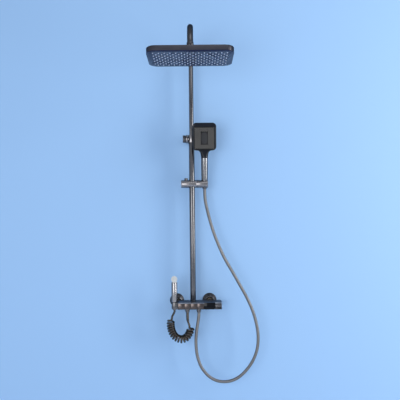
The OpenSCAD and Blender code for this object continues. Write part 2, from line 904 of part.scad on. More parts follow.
rosettes();
s_unions();
union_nuts();
valve_body();
valve_shelf();
valve_base();
gun_holder();
display_window();
diverters();
key_springs();
mix_cartridge();
riser_nipple();
outlet_nipples();
outlet_nuts();
key(0);  // key_1
key(1);  // key_2
key(2);  // key_3
key(3);  // key_4
temp_knob();
lower_tube();
tube_bush();
bracket_base();
bracket_screws();
bracket_cover();
bracket_arm();
lock_knob();
lock_stud();
upper_tube();
upper_seal();
swivel_bush();
arm();
arm_collar();
ball_stem();
ball_ring();
ball_nut();
rain_shell();
rain_plate();
rain_mat();
slider_body();
slider_liner();
slider_cap();
slider_button();
cradle();
cradle_pin();
handset_shell();
handset_handle();
handset_ring();
handset_plate();
handset_mat();
handset_insert();
hose_nut();
handset_hose();
gun_body();
gun_head();
gun_face();
gun_trigger();
gun_pin();
gun_nut();
coil_hose();
coil_leads();
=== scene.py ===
# %% [markdown]
# # A wall shower column
# The object is a bar valve on two wall inlets, a two-part column with a bent arm and a wide
# rain head, a handset on a sliding holder with a long metal hose, and a spray gun on a curly
# hose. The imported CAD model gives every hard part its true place. This script adds what CAD
# leaves out: rounded edges, moulded shells, soft nozzles, bending hoses and finishes.

# %% Load the frame
import bpy
import bmesh
import json
import math
from mathutils import Vector, Matrix

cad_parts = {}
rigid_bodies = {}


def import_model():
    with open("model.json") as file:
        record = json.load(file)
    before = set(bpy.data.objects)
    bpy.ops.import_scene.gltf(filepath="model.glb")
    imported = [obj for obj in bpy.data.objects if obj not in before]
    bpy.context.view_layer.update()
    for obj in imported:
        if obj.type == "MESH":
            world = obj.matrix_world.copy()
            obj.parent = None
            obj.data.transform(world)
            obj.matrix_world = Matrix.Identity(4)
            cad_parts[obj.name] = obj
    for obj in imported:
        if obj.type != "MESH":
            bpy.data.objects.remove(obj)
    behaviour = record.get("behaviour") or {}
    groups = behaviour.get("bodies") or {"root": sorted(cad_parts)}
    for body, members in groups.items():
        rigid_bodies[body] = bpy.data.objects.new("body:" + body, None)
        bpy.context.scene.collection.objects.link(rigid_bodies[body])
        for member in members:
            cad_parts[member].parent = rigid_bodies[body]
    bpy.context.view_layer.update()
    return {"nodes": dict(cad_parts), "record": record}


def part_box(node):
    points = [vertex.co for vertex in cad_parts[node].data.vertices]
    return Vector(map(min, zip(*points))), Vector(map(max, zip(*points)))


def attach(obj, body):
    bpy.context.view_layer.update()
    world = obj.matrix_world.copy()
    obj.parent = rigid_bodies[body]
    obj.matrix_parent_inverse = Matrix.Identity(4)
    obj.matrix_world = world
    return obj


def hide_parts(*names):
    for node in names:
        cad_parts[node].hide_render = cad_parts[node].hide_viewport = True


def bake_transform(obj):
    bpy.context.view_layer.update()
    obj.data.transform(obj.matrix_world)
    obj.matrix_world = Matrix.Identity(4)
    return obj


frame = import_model()
nodes = frame["nodes"]
MM = 0.001

# %% [markdown]
# ## Camera
# A lens is described by its focal length against the sensor's width. The camera stands 2.5 m
# from the wall at chest height and looks straight at it, so the column stays upright, and a
# small shift of the picture brings the whole object in. It is rolled by half a degree.

# %% Camera
CAMERA_PLACE = (0.0163, -2.5, 0.361)
CAMERA_ROLL = -0.010
camera_data = bpy.data.cameras.new("shower_camera")
camera_data.sensor_width = 36.0
camera_data.lens = 48.6
camera_data.shift_x = 0.010
camera_data.shift_y = 0.055
camera = bpy.data.objects.new("shower_camera", camera_data)
bpy.context.scene.collection.objects.link(camera)
camera.matrix_world = (
    Matrix.Translation(CAMERA_PLACE)
    @ Matrix.Rotation(math.radians(90), 4, "X")
    @ Matrix.Rotation(CAMERA_ROLL, 4, "Z")
)
bpy.context.scene.camera = camera
bpy.context.scene.view_settings.view_transform = "Standard"
print("camera lens", camera_data.lens, "mm")

# %% [markdown]
# ## Routes of the hoses
# A hose is one smooth curve of a fixed length. The same control points shape the plain CAD
# tubes, and a Catmull-Rom curve runs through them, so the finished hose lies where they are.

# %% Hose routes
COLUMN_Y = -0.060
HOLD = Vector((0.057, COLUMN_Y, 0.533))
LEAN = math.radians(12)
UP = Vector((0, -math.sin(LEAN), math.cos(LEAN)))
VALVE_OUT = Vector((0.025, -0.066, -0.046))
COIL_OUT = Vector((-0.026, -0.066, -0.046))
GUN_OUT = Vector((-0.083, -0.100, -0.029))
HOSE_D = 0.014
LEAD_D = 0.009

HOSE_MM = [
    (60, -52, 455), (71, -55, 402), (88, -60, 338), (110, -64, 274), (142, -68, 200),
    (180, -70, 132), (212, -72, 74), (240, -73, 22), (265, -74, -35), (282, -75, -93),
    (290, -75, -150), (286, -75, -208), (267, -75, -261), (236, -75, -306), (198, -74, -340),
    (156, -74, -356), (111, -73, -355), (70, -72, -335), (36, -71, -295), (17, -70, -243),
    (11, -69, -190), (13, -68, -142), (20, -67, -95), (24.5, -66, -64),
]
hose_top = HOLD - 0.022 * UP
hose_route = [hose_top, hose_top - 0.025 * UP + Vector((0.0005, 0, 0))]
hose_route += [Vector(p) * MM for p in HOSE_MM] + [VALVE_OUT]

COIL_MM = [
    (-100, -93, -75), (-101, -91, -98), (-96, -88, -126), (-85, -85, -147), (-70, -82, -159),
    (-53, -79, -164), (-36, -76, -159), (-23, -74, -145), (-15, -72, -129), (-13, -71, -114),
]
coil_axis = [Vector(p) * MM for p in COIL_MM]
gun_lead = [GUN_OUT, GUN_OUT - Vector((0, 0, 0.006)), Vector((-0.086, -0.099, -0.044)),
            Vector((-0.094, -0.096, -0.059))]
valve_lead = [Vector((-0.019, -0.070, -0.101)), Vector((-0.0245, -0.068, -0.084)),
              Vector((-0.0258, -0.067, -0.066)), COIL_OUT]


def smooth_line(points, step):
    """A Catmull-Rom curve through the points, with a point about every step metres."""
    out = []
    for i in range(len(points) - 1):
        a, b = points[max(i - 1, 0)], points[i]
        c, d = points[i + 1], points[min(i + 2, len(points) - 1)]
        count = max(2, round((c - b).length / step))
        for k in range(count):
            t = k / count
            out.append(0.5 * (2 * b + (c - a) * t + (2 * a - 5 * b + 4 * c - d) * t * t
                              + (3 * b - a - 3 * c + d) * t ** 3))
    return out + [points[-1].copy()]


def line_length(points):
    return sum((b - a).length for a, b in zip(points, points[1:]))


HOSE_STEP = 0.004
hose_line = smooth_line(hose_route, HOSE_STEP)
print("handset hose", round(line_length(hose_line), 3), "m")

# %% [markdown]
# ## Pieces and tubes
# Every piece is a mesh at the origin whose place is in its vertices. A tube is rings of
# vertices along a line. Its UV map counts metres along the tube, so a winding pattern can
# follow it however it bends.

# %% Piece helpers
scene_items = bpy.context.scene.collection.objects


def piece_from(name, bm, smooth_angle=40):
    bmesh.ops.recalc_face_normals(bm, faces=bm.faces)
    mesh = bpy.data.meshes.new(name)
    bm.to_mesh(mesh)
    bm.free()
    return shaded(name, mesh, smooth_angle)


def shaded(name, mesh, smooth_angle):
    for face in mesh.polygons:
        face.use_smooth = True
    mesh.set_sharp_from_angle(angle=math.radians(smooth_angle))
    piece = bpy.data.objects.new(name, mesh)
    scene_items.link(piece)
    return piece


def tube_rings(line, radius, sides):
    """Rings of points round a line, turned as little as possible from one to the next."""
    rings, side = [], None
    for i, p in enumerate(line):
        ahead = (line[min(i + 1, len(line) - 1)] - line[max(i - 1, 0)]).normalized()
        if side is None:
            side = ahead.cross(Vector((0, 1, 0)))
        side = (side - ahead * side.dot(ahead)).normalized()
        other = ahead.cross(side)
        r = radius(i) if callable(radius) else radius
        rings.append([p + r * (math.cos(2 * math.pi * k / sides) * side
                               + math.sin(2 * math.pi * k / sides) * other)
                      for k in range(sides)])
    return rings


def tube(name, line, radius, sides=16):
    bm = bmesh.new()
    uv = bm.loops.layers.uv.new("along")
    rings = [[bm.verts.new(p) for p in ring] for ring in tube_rings(line, radius, sides)]
    run = [0.0]
    for a, b in zip(line, line[1:]):
        run.append(run[-1] + (b - a).length)
    for i in range(len(rings) - 1):
        for k in range(sides):
            n = (k + 1) % sides
            face = bm.faces.new((rings[i][k], rings[i][n], rings[i + 1][n], rings[i + 1][k]))
            for loop, (u, v) in zip(face.loops, ((k, i), (k + 1, i), (k + 1, i + 1), (k, i + 1))):
                loop[uv].uv = (u / sides, run[v])
    bm.faces.new(rings[0][::-1])
    bm.faces.new(rings[-1])
    return piece_from(name, bm, 60)


# %% [markdown]
# ## The metal hose
# A shower hose is a strip of metal wound in a spiral over a rubber tube. Its ribs are modelled
# by letting the radius swell and shrink along the line. The hose is cut in three: a long part
# between valve and slider, a short part between that and the holder, and a short tail in the
# holder.

# %% The metal hose
RIB = 0.0034
RIB_DEPTH = 0.0004
RINGS_PER_RIB = 4
BEND_Z = 0.430


def ribbed(name, line):
    fine = smooth_line(line, RIB / RINGS_PER_RIB)
    last = len(fine) - 1

    def radius(i):
        swell = 0.5 - 0.5 * math.cos(2 * math.pi * i / RINGS_PER_RIB)
        return HOSE_D / 2 - RIB_DEPTH * (1 - swell)
    return tube(name, fine, radius, 14), fine[:: RINGS_PER_RIB] + [fine[last]]


bend_at = 1
while hose_line[bend_at].z > BEND_Z:
    bend_at += 1
hose_long, long_path = ribbed("handset_hose_long", hose_line[bend_at:][::6] + [hose_line[-1]])
hose_bend, bend_path = ribbed("handset_hose_bend",
                              hose_line[:bend_at + 1][::4] + [hose_line[bend_at]])
tail_line = [hose_top + 0.006 * UP, hose_top + 0.003 * UP, hose_top]
hose_tail, tail_path = ribbed("handset_hose_tail", tail_line)
print("long part", round(line_length(long_path), 3), "m")
print("bend", round(line_length(bend_path), 3), "m")

# %% [markdown]
# ## The curly hose
# The curly hose is one thin hose: a straight lead at each end and a helix between them. The
# helix is laid round a curved axis by a loop, with many points in each turn.

# %% The curly hose
COIL_R = 0.0140
COIL_TURNS = 17
PER_TURN = 20
FIRST_TURN = 0.6
END_POINTS = 10
JOIN_REACH = 6
JOIN_PASSES = 14
LEAD_STEP = 0.0025
SLEEVE = 0.0016


def resampled(line, count):
    """count + 1 points spaced evenly along a line."""
    run, total, out, at, i = 0.0, line_length(line), [], 0.0, 0
    for k in range(count + 1):
        goal = total * k / count
        while i < len(line) - 2 and run + (line[i + 1] - line[i]).length < goal:
            run += (line[i + 1] - line[i]).length
            i += 1
        step = (line[i + 1] - line[i]).length
        out.append(line[i].lerp(line[i + 1], min(1.0, (goal - run) / step)))
    return out


axis_line = resampled(smooth_line(coil_axis, 0.002), COIL_TURNS * PER_TURN)
helix = []
side = None
for i, p in enumerate(axis_line):
    ahead = (axis_line[min(i + 1, len(axis_line) - 1)] - axis_line[max(i - 1, 0)]).normalized()
    side = ahead.cross(Vector((0, 1, 0))) if side is None else side
    side = (side - ahead * side.dot(ahead)).normalized()
    turn = 2 * math.pi * i / PER_TURN + FIRST_TURN
    ends = min(1.0, i / END_POINTS, (len(axis_line) - 1 - i) / END_POINTS)
    reach = COIL_R * (0.35 + 0.65 * ends)
    helix.append(p + reach * (math.cos(turn) * side + math.sin(turn) * ahead.cross(side)))
coil_line = smooth_line(gun_lead + [helix[0]], LEAD_STEP)[:-1]
joins = [len(coil_line), len(coil_line) + len(helix) - 1]
coil_line += helix + smooth_line([helix[-1]] + valve_lead, LEAD_STEP)[1:]
for _ in range(JOIN_PASSES):
    for join in joins:
        for i in range(join - JOIN_REACH, join + JOIN_REACH + 1):
            around = (coil_line[i - 1] + coil_line[i + 1]) * 0.25
            coil_line[i] = coil_line[i] * 0.5 + around
coil_left = [0.0]
for a, b in zip(coil_line[::-1], coil_line[-2::-1]):
    coil_left.append(coil_left[-1] + (b - a).length)
coil_left.reverse()


def with_sleeve(i):
    """A sleeve stiffens the last few centimetres before the valve; the turns are thinner."""
    back = min(1.0, max(0.0, (coil_left[i] - 0.030) / 0.016))
    wound = min(1.0, max(0.0, min(i - joins[0], joins[1] - i) / 8))
    return LEAD_D / 2 + SLEEVE * (1 - back) - 0.0003 * wound


curly_hose = tube("curly_hose", coil_line, with_sleeve, 12)
print("curly hose", round(line_length(coil_line), 3), "m,", COIL_TURNS, "turns")

# %% [markdown]
# ## Rounded hard parts
# No cast or turned part has a knife edge. A copy of the CAD part is welded into one surface,
# its flat areas are cleaned, and a narrow bevel runs round every sharp edge to catch the
# light. The copy stands for the CAD part, which stays underneath for the physics.

# %% Rounded copies of CAD parts
body_of_node = {n: b for b, ns in frame["record"]["behaviour"]["bodies"].items() for n in ns}


def rounded_copy(node, width=0.0006, segments=2, name=None, angle=35):
    bm = bmesh.new()
    bm.from_mesh(nodes[node].data)
    bmesh.ops.remove_doubles(bm, verts=bm.verts, dist=2e-6)
    bmesh.ops.dissolve_limit(bm, angle_limit=math.radians(0.8), verts=bm.verts, edges=bm.edges)
    sharp = [e for e in bm.edges
             if len(e.link_faces) == 2 and e.calc_face_angle(0) > math.radians(angle)]
    if width > 0:
        bmesh.ops.bevel(bm, geom=sharp, offset=width, segments=segments, profile=0.5,
                        affect="EDGES", clamp_overlap=True)
    piece = piece_from(name or node + "_finished", bm, 32)
    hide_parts(node)
    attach(piece, body_of_node[node])
    return piece


ROUNDED = {
    "rosettes": 0.0008, "union_nuts": 0.0006, "valve_shelf": 0.0006, "valve_base": 0.0006,
    "gun_holder": 0.0008, "outlet_nuts": 0.0006, "key_1": 0.0007, "key_2": 0.0007,
    "key_3": 0.0007, "key_4": 0.0007, "temp_knob": 0.0004, "lower_tube": 0.0003,
    "upper_tube": 0.0002, "bracket_cover": 0.0006, "bracket_arm": 0.0006, "lock_knob": 0.0003,
    "arm": 0.0002, "arm_collar": 0.0006, "ball_nut": 0.0006, "slider_body": 0.0004,
    "slider_cap": 0.0008, "slider_button": 0.0010, "cradle": 0.0006, "handset_handle": 0.0006,
    "hose_nut": 0.0005, "gun_body": 0.0006, "gun_head": 0.0012, "gun_nut": 0.0006,
    "gun_trigger": 0.0008, "display_window": 0.0006, "valve_body": 0.0004,
    "rain_plate": 0.0006, "gun_face": 0.0004, "handset_plate": 0.0003,
}
finished = {}
for node, width in ROUNDED.items():
    finished[node] = rounded_copy(node, width)
print("rounded", len(finished), "hard parts")

# %% [markdown]
# ## Lofted shells
# Moulded covers are soft slabs: one rounded outline repeated at different heights, each a
# little smaller or larger. The list of (inset, height) pairs is the profile of the edge.

# %% Soft slabs
def rounded_outline(w, d, r, corner=10):
    points = []
    for cx, cy, start in ((1, 1, 0), (-1, 1, 90), (-1, -1, 180), (1, -1, 270)):
        for k in range(corner + 1):
            a = math.radians(start + 90 * k / corner)
            points.append((cx * (w / 2 - r) + r * math.cos(a), cy * (d / 2 - r) + r * math.sin(a)))
    return points


def slab_rings(bm, w, d, r, profile, place, corner=10):
    """Joins rounded outlines into a closed shell. place turns (x, y, height) into a point."""
    rings = []
    for inset, height in profile:
        outline = rounded_outline(w - 2 * inset, d - 2 * inset, max(r - inset, 0.0008), corner)
        rings.append([bm.verts.new(place(x, y, height)) for x, y in outline])
    count = len(rings[0])
    for a, b in zip(rings, rings[1:]):
        for k in range(count):
            n = (k + 1) % count
            bm.faces.new((a[k], a[n], b[n], b[k]))
    return rings


def closed_slab(bm, *args, **kw):
    rings = slab_rings(bm, *args, **kw)
    bm.faces.new(rings[0])
    bm.faces.new(rings[-1][::-1])


def lathe(bm, profile, place, sides=48):
    """Turns (radius, height) pairs about an axis. A radius of 0 at an end closes it."""
    rings = []
    for r, h in profile:
        if r < 1e-7:
            rings.append([bm.verts.new(place(0, 0, h))])
        else:
            rings.append([bm.verts.new(place(r * math.cos(2 * math.pi * k / sides),
                                             r * math.sin(2 * math.pi * k / sides), h))
                          for k in range(sides)])
    for a, b in zip(rings, rings[1:]):
        for k in range(sides):
            n = (k + 1) % sides
            corner = [a[k % len(a)], a[n % len(a)], b[n % len(b)], b[k % len(b)]]
            corner = [v for i, v in enumerate(corner) if v not in corner[:i]]
            if len(corner) > 2:
                bm.faces.new(corner)


# %% [markdown]
# ## The rain head's cover
# The cover is a wide, thin tray. Its top swells a little towards the middle, where the swivel's
# cup stands, and its rim rolls over with a radius of a few millimetres.

# %% Rain head cover
shell_low, shell_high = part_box("rain_shell")
plate_low, plate_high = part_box("rain_plate")
RAIN_W = plate_high.x - plate_low.x
RAIN_D = plate_high.y - plate_low.y
RAIN_R = 0.038
RAIN_T = 0.0245
HEAD_Y = (plate_low.y + plate_high.y) / 2
RAIN_TOP = plate_low.z + RAIN_T
cover = bmesh.new()
under = plate_high.z + 0.0002
cover_profile = [
    (0.0030, RAIN_TOP - 0.0030), (0.0030, under + 0.0005), (0.0026, under), (0.0006, under),
    (0.0, under + 0.0008), (0.0, RAIN_TOP - 0.0055), (0.0004, RAIN_TOP - 0.0036),
    (0.0014, RAIN_TOP - 0.0020), (0.0032, RAIN_TOP - 0.0010), (0.0070, RAIN_TOP - 0.0004),
    (0.0300, RAIN_TOP - 0.0001), (0.0700, RAIN_TOP),
]
closed_slab(cover, RAIN_W, RAIN_D, RAIN_R, cover_profile,
            lambda x, y, h: Vector((x, y + HEAD_Y, h)))
cup_base, cup_top = RAIN_TOP - 0.001, shell_high.z
lathe(cover, [(0.0128, cup_base), (0.0210, cup_base), (0.0202, cup_base + 0.0025),
              (0.0165, cup_base + 0.0035), (0.0152, cup_base + 0.0050), (0.0152, cup_top),
              (0.0130, cup_top), (0.0128, cup_top - 0.001), (0.0128, cup_base)],
      lambda x, y, h: Vector((x, y + HEAD_Y, h)))
rain_cover = piece_from("rain_head_cover", cover, 35)
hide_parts("rain_shell")
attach(rain_cover, "rain_head")
print("rain head", round(RAIN_W, 3), "x", round(RAIN_D, 3), "m")

# %% [markdown]
# ## Soft nozzles
# Nozzles repeat over a sheet, which is what Geometry Nodes are for. One small nozzle is turned
# on a lathe with few faces, a point is placed at each hole, and the tree puts a copy on every
# point, makes the copies real and gives them their material.

# %% Nozzle tree
def nozzle_tree(label):
    tree = bpy.data.node_groups.new(label, "GeometryNodeTree")
    face = tree.interface
    face.new_socket("Holes", in_out="INPUT", socket_type="NodeSocketGeometry")
    face.new_socket("Nozzle", in_out="INPUT", socket_type="NodeSocketObject")
    face.new_socket("Size", in_out="INPUT", socket_type="NodeSocketFloat")
    face.new_socket("Finish", in_out="INPUT", socket_type="NodeSocketMaterial")
    face.new_socket("Nozzles", in_out="OUTPUT", socket_type="NodeSocketGeometry")
    n, link = tree.nodes, tree.links.new
    start, end = n.new("NodeGroupInput"), n.new("NodeGroupOutput")
    points = n.new("GeometryNodeMeshToPoints")
    source = n.new("GeometryNodeObjectInfo")
    place = n.new("GeometryNodeInstanceOnPoints")
    real = n.new("GeometryNodeRealizeInstances")
    dress = n.new("GeometryNodeSetMaterial")
    link(start.outputs["Holes"], points.inputs["Mesh"])
    link(start.outputs["Nozzle"], source.inputs["Object"])
    link(points.outputs["Points"], place.inputs["Points"])
    link(source.outputs["Geometry"], place.inputs["Instance"])
    link(start.outputs["Size"], place.inputs["Scale"])
    link(place.outputs["Instances"], real.inputs["Geometry"])
    link(real.outputs["Geometry"], dress.inputs["Geometry"])
    link(start.outputs["Finish"], dress.inputs["Material"])
    link(dress.outputs["Geometry"], end.inputs["Nozzles"])
    return tree


nozzles_tree = nozzle_tree("nozzle_rows")


def nozzle_sheet(name, holes, pattern, size, finish):
    """One mesh with a copy of pattern at each hole."""
    mesh = bpy.data.meshes.new(name + "_holes")
    mesh.from_pydata([tuple(p) for p in holes], [], [])
    carrier = bpy.data.objects.new(name + "_holes", mesh)
    scene_items.link(carrier)
    modifier = carrier.modifiers.new("nozzles", "NODES")
    modifier.node_group = nozzles_tree
    keys = {i.name: i.identifier for i in nozzles_tree.interface.items_tree
            if i.in_out == "INPUT"}
    modifier[keys["Nozzle"]] = pattern
    modifier[keys["Size"]] = size
    modifier[keys["Finish"]] = finish
    bpy.context.view_layer.update()
    seen = carrier.evaluated_get(bpy.context.evaluated_depsgraph_get())
    made = bpy.data.meshes.new_from_object(seen)
    bpy.data.objects.remove(carrier)
    return shaded(name, made, 50)


print("nozzle tree has", len(nozzles_tree.nodes), "nodes")

# %% [markdown]
# ## Finishes
# A finish is a Principled shader whose colour, roughness and bump are not flat. Two effects
# are used by many materials, so each is a node group: "drawn grain" gives fine lines along one
# direction, and "handling marks" gives faint smudges and dried water drops.

# %% Shader group helpers
def group(label, inputs, outputs):
    tree = bpy.data.node_groups.new(label, "ShaderNodeTree")
    for socket, kind, value in inputs:
        made = tree.interface.new_socket(socket, in_out="INPUT", socket_type=kind)
        if value is not None:
            made.default_value = value
    for socket, kind in outputs:
        tree.interface.new_socket(socket, in_out="OUTPUT", socket_type=kind)
    return tree, tree.nodes.new("NodeGroupInput"), tree.nodes.new("NodeGroupOutput")


def math_node(tree, operation, a, b=None):
    node = tree.nodes.new("ShaderNodeMath")
    node.operation = operation
    for slot, value in zip(node.inputs, (a, b)):
        if value is None:
            continue
        if isinstance(value, (int, float)):
            slot.default_value = value
        else:
            tree.links.new(value, slot)
    return node.outputs[0]


FLOAT, VECTOR = "NodeSocketFloat", "NodeSocketVector"

# %% Drawn grain
grain_tree, grain_in, grain_out = group(
    "drawn grain",
    [("Place", VECTOR, None), ("Fineness", FLOAT, 900.0), ("Roughness", FLOAT, 0.25),
     ("Spread", FLOAT, 0.08)],
    [("Roughness", FLOAT), ("Height", FLOAT)])
stretch = grain_tree.nodes.new("ShaderNodeVectorMath")
stretch.operation = "MULTIPLY"
stretch.inputs[1].default_value = (1.0, 1.0, 0.04)
grain_tree.links.new(grain_in.outputs["Place"], stretch.inputs[0])
lines = grain_tree.nodes.new("ShaderNodeTexNoise")
lines.inputs["Detail"].default_value = 3.0
grain_tree.links.new(stretch.outputs[0], lines.inputs["Vector"])
grain_tree.links.new(grain_in.outputs["Fineness"], lines.inputs["Scale"])
centred = math_node(grain_tree, "SUBTRACT", lines.outputs["Fac"], 0.5)
spread = math_node(grain_tree, "MULTIPLY", centred, grain_in.outputs["Spread"])
rough = math_node(grain_tree, "ADD", spread, grain_in.outputs["Roughness"])
grain_tree.links.new(rough, grain_out.inputs["Roughness"])
grain_tree.links.new(lines.outputs["Fac"], grain_out.inputs["Height"])

# %% Handling marks
marks_tree, marks_in, marks_out = group(
    "handling marks",
    [("Place", VECTOR, None), ("Amount", FLOAT, 0.3)],
    [("Smudge", FLOAT), ("Drops", FLOAT)])
cloud = marks_tree.nodes.new("ShaderNodeTexNoise")
cloud.inputs["Scale"].default_value = 28.0
cloud.inputs["Detail"].default_value = 5.0
marks_tree.links.new(marks_in.outputs["Place"], cloud.inputs["Vector"])
patch = marks_tree.nodes.new("ShaderNodeMapRange")
patch.inputs["From Min"].default_value = 0.45
patch.inputs["From Max"].default_value = 0.75
marks_tree.links.new(cloud.outputs["Fac"], patch.inputs["Value"])
smudge = math_node(marks_tree, "MULTIPLY", patch.outputs[0], marks_in.outputs["Amount"])
marks_tree.links.new(smudge, marks_out.inputs["Smudge"])
cells = marks_tree.nodes.new("ShaderNodeTexVoronoi")
cells.inputs["Scale"].default_value = 160.0
marks_tree.links.new(marks_in.outputs["Place"], cells.inputs["Vector"])
ring = marks_tree.nodes.new("ShaderNodeMapRange")
ring.inputs["From Min"].default_value = 0.16
ring.inputs["From Max"].default_value = 0.10
marks_tree.links.new(cells.outputs["Distance"], ring.inputs["Value"])
drops = math_node(marks_tree, "MULTIPLY", ring.outputs[0], smudge)
marks_tree.links.new(drops, marks_out.inputs["Drops"])
print("shader groups:", grain_tree.name, "and", marks_tree.name)


# %% [markdown]
# Each finish is then a short call: its two colours (the second shows in the smudges), how
# metallic and how rough it is, how fine its grain is and how deep its bump.

# %% Finish recipe
def finish(label, colour, worn, metallic, roughness, spread=0.06, fineness=900.0,
           bump=0.012, marks=0.3, coat=0.0, coat_rough=0.08, ior=1.5, specular=0.5, edge=0.35,
           axis=None):
    mat = bpy.data.materials.new(label)
    mat.use_nodes = True
    tree = mat.node_tree
    shader = tree.nodes["Principled BSDF"]
    where = tree.nodes.new("ShaderNodeTexCoord").outputs["Object"]
    if axis is not None:
        turn = tree.nodes.new("ShaderNodeMapping")
        turn.inputs["Rotation"].default_value = axis
        tree.links.new(where, turn.inputs["Vector"])
        where = turn.outputs[0]
    grain = tree.nodes.new("ShaderNodeGroup")
    grain.node_tree = grain_tree
    grain.inputs["Fineness"].default_value = fineness
    grain.inputs["Roughness"].default_value = roughness
    grain.inputs["Spread"].default_value = spread
    tree.links.new(where, grain.inputs["Place"])
    mark = tree.nodes.new("ShaderNodeGroup")
    mark.node_tree = marks_tree
    mark.inputs["Amount"].default_value = marks
    tree.links.new(where, mark.inputs["Place"])
    mix = tree.nodes.new("ShaderNodeMix")
    mix.data_type = "RGBA"
    mix.inputs["A"].default_value = (*colour, 1)
    mix.inputs["B"].default_value = (*worn, 1)
    tree.links.new(mark.outputs["Smudge"], mix.inputs["Factor"])
    tree.links.new(mix.outputs["Result"], shader.inputs["Base Color"])
    dulled = math_node(tree, "MULTIPLY", mark.outputs["Smudge"], 0.25)
    total = math_node(tree, "ADD", grain.outputs["Roughness"], dulled)
    tree.links.new(total, shader.inputs["Roughness"])
    relief = tree.nodes.new("ShaderNodeBump")
    relief.inputs["Strength"].default_value = bump
    relief.inputs["Distance"].default_value = 0.0004
    height = math_node(tree, "ADD", grain.outputs["Height"], mark.outputs["Drops"])
    tree.links.new(height, relief.inputs["Height"])
    tree.links.new(relief.outputs[0], shader.inputs["Normal"])
    shader.inputs["Metallic"].default_value = metallic
    if metallic == 1.0:
        shader.inputs["Specular Tint"].default_value = (edge, edge, edge, 1)
    shader.inputs["Coat Weight"].default_value = coat
    shader.inputs["Coat Roughness"].default_value = coat_rough
    shader.inputs["IOR"].default_value = ior
    shader.inputs["Specular IOR Level"].default_value = specular
    return mat


ACROSS = (0, math.radians(90), 0)
gunmetal = finish("gunmetal", (0.165, 0.163, 0.170), (0.21, 0.20, 0.20), 1.0, 0.22)
# A lighter copy of the gunmetal, grain turned across: its paler colour is a painted highlight on
# the slider, its cap, the cradle and the bracket arm.
gunmetal_painted_highlight = finish("across_gunmetal_painted_highlight", (0.30, 0.285, 0.29), (0.34, 0.32, 0.31), 1.0, 0.26,
                       axis=ACROSS)
# A still lighter copy of the gunmetal: its pale colour is a painted highlight down the middle of
# the spray gun's body.
gun_painted_highlight_metal = finish("gun_body_painted_highlight", (0.36, 0.35, 0.36), (0.42, 0.40, 0.39), 1.0, 0.22,
                          edge=0.25)
# A lighter copy of the gunmetal: its paler colour is a painted highlight on the handset's handle.
handle_painted_highlight_metal = finish("handset_handle_painted_highlight", (0.24, 0.24, 0.25), (0.28, 0.27, 0.26), 1.0, 0.18)
# A darker copy of the gunmetal: its dark colour is painted shade on the arm, the rosettes, the
# bracket cover and the lock knob.
arm_painted_shade_metal = finish("arm_painted_shade_metal", (0.085, 0.085, 0.092), (0.12, 0.115, 0.11), 1.0, 0.24)
valve_metal = finish("valve_metal", (0.095, 0.100, 0.115), (0.13, 0.125, 0.125), 1.0, 0.26,
                     axis=ACROSS)
# The shelf's metal is lighter and bluer than the valve body: a painted highlight on its top and a
# painted blue reflection.
shelf_painted_light_metal = finish("valve_shelf_painted_light", (0.235, 0.255, 0.300), (0.27, 0.28, 0.30), 1.0, 0.28,
                     axis=ACROSS)
# The keys' brownish tint is a painted reflection.
keys_painted_reflection = finish("keys_painted_reflection", (0.125, 0.103, 0.098), (0.16, 0.13, 0.12), 1.0, 0.24, axis=ACROSS)
knob_metal = finish("temperature_knob_metal", (0.17, 0.165, 0.175), (0.2, 0.19, 0.19), 1.0, 0.3,
                    axis=ACROSS)
gloss_black = finish("gloss_black", (0.007, 0.009, 0.015), (0.018, 0.018, 0.020), 0.0, 0.16,
                     spread=0.03, fineness=300.0, marks=0.35, specular=0.25)
rim_black = finish("rain_head_rim", (0.080, 0.078, 0.092), (0.10, 0.095, 0.10), 1.0, 0.30,
                   spread=0.05, fineness=500.0)
under_black = finish("rain_head_underside", (0.012, 0.017, 0.052), (0.022, 0.026, 0.045), 0.0,
                     0.20, spread=0.03, fineness=500.0, marks=0.25, ior=1.35, specular=0.3)
plate_grey = finish("handset_plate_grey", (0.004, 0.004, 0.005), (0.008, 0.008, 0.008), 0.0, 0.40,
                    spread=0.05, fineness=700.0, marks=0.2, specular=0.2)
insert_grey = finish("handset_insert_grey", (0.024, 0.024, 0.028), (0.04, 0.04, 0.04), 0.1, 0.3,
                     fineness=700.0, marks=0.2)
silicone = finish("rain_nozzle_silicone", (0.44, 0.52, 0.70), (0.34, 0.38, 0.46), 0.0, 0.5,
                  fineness=500.0, bump=0.03, marks=0.5)
hand_silicone = finish("hand_nozzle_silicone", (0.36, 0.34, 0.31), (0.26, 0.25, 0.22), 0.0, 0.5,
                       fineness=500.0, bump=0.03, marks=0.5)
steel = finish("bare_steel", (0.55, 0.55, 0.56), (0.42, 0.41, 0.40), 1.0, 0.30)
bright = finish("bright_plate", (0.62, 0.62, 0.63), (0.52, 0.51, 0.50), 1.0, 0.14, marks=0.25)
brass = finish("turned_brass", (0.24, 0.20, 0.15), (0.20, 0.16, 0.11), 1.0, 0.30)
plain_black = finish("plain_moulding", (0.05, 0.05, 0.055), (0.08, 0.08, 0.08), 0.0, 0.5)
window_black = finish("window_black", (0.003, 0.004, 0.007), (0.005, 0.006, 0.008), 0.0, 0.08,
                      spread=0.01, bump=0.002, marks=0.1, specular=0.2)
pale_gloss = finish("pale_moulding", (0.62, 0.64, 0.64), (0.50, 0.49, 0.46), 0.0, 0.22,
                    fineness=400.0, marks=0.35, coat=0.3)
curl_black = finish("curly_hose_black", (0.088, 0.078, 0.070), (0.070, 0.062, 0.056), 1.0, 0.20,
                    spread=0.03, fineness=400.0, marks=0.15, edge=0.0)
print("finishes:", len(bpy.data.materials))

# %% [markdown]
# The wound strip of the hose needs a pattern that follows the tube, so its fine seam reads the
# tube's own UV map instead of a place in space.

